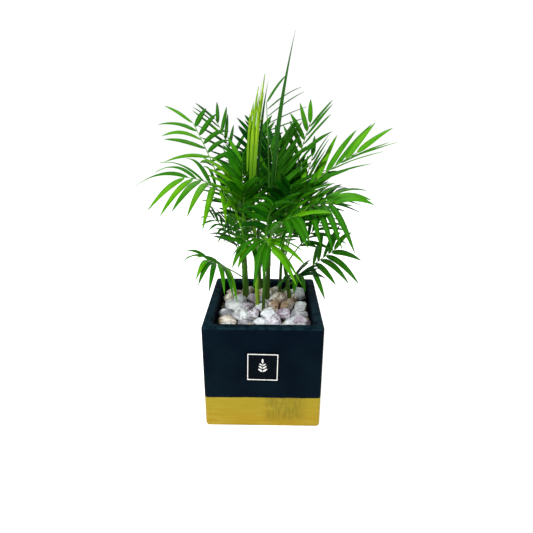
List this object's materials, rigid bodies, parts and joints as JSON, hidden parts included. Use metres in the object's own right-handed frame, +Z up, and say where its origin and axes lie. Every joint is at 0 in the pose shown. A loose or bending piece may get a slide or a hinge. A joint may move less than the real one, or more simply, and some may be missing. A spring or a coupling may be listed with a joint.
{
  "type": "potted parlour palm",
  "caption": "Young palm with several green stems, feathered fronds and upright unopened leaves, in a thick square pot under a bed of broken stones.",
  "frame": {"origin": "middle of the pot's flat underside", "axes": "+Z up, along the plant; -Y out of the face that carries the label; +X to the right as that face is looked at"},
  "size_m": [0.2584, 0.2095, 0.395],
  "materials": {
    "pot": "matt black glaze, with the lower third painted gold",
    "soil": "dark potting soil",
    "stones": "broken white, pink and tan stones, matt",
    "sticker": "black printed sticker",
    "label_ink": "white printed line",
    "stem_bright": "green stem, satin",
    "stem_dark": "dark green stem, satin",
    "leaf_mid": "leaf green, satin",
    "leaf_bright": "bright leaf green, satin",
    "leaf_dark": "dark leaf green, satin",
    "leaf_new": "yellow-green new leaf, satin"
  },
  "bodies": {
    "root": {"frond_back_corner": "leaf_mid", "frond_back_far": "leaf_bright", "frond_back_left": "leaf_bright", "frond_back_low": "leaf_dark", "frond_back_middle": "leaf_mid", "frond_back_right": "leaf_dark", "frond_behind": "leaf_mid", "frond_core_back": "leaf_bright", "frond_core_deep": "leaf_dark", "frond_core_front": "leaf_bright", "frond_core_left": "leaf_dark", "frond_core_low": "leaf_mid", "frond_core_right": "leaf_dark", "frond_core_tall": "leaf_mid", "frond_front": "leaf_bright", "frond_front_left": "leaf_mid", "frond_front_middle": "leaf_mid", "frond_front_right": "leaf_dark", "frond_heart_back": "leaf_bright", "frond_heart_left": "leaf_dark", "frond_heart_right": "leaf_mid", "frond_inner_left": "leaf_bright", "frond_left_back": "leaf_dark", "frond_left_fine": "leaf_bright", "frond_left_foot": "leaf_mid", "frond_left_inner": "leaf_bright", "frond_left_low": "leaf_mid", "frond_left_top": "leaf_dark", "frond_middle": "leaf_bright", "frond_opening": "leaf_dark", "frond_right_front": "leaf_bright", "frond_right_high": "leaf_mid", "frond_right_inner": "leaf_mid", "frond_right_low": "leaf_dark", "frond_right_mid": "leaf_dark", "frond_right_top": "leaf_bright", "label_frame": "label_ink", "label_sticker": "sticker", "pot": "pot", "soil": "soil", "spear_new_a": "leaf_new", "spear_new_b": "leaf_new", "spear_new_c": "leaf_new", "spear_new_d": "leaf_dark", "spear_tall": "leaf_dark", "stem_back": "stem_dark", "stem_bright": "stem_bright", "stem_middle": "stem_dark", "stem_right": "stem_dark", "stem_slanting": "stem_dark", "stem_slim": "stem_dark", "stem_thick": "stem_dark", "stones": "stones"}
  },
  "joints": []
}
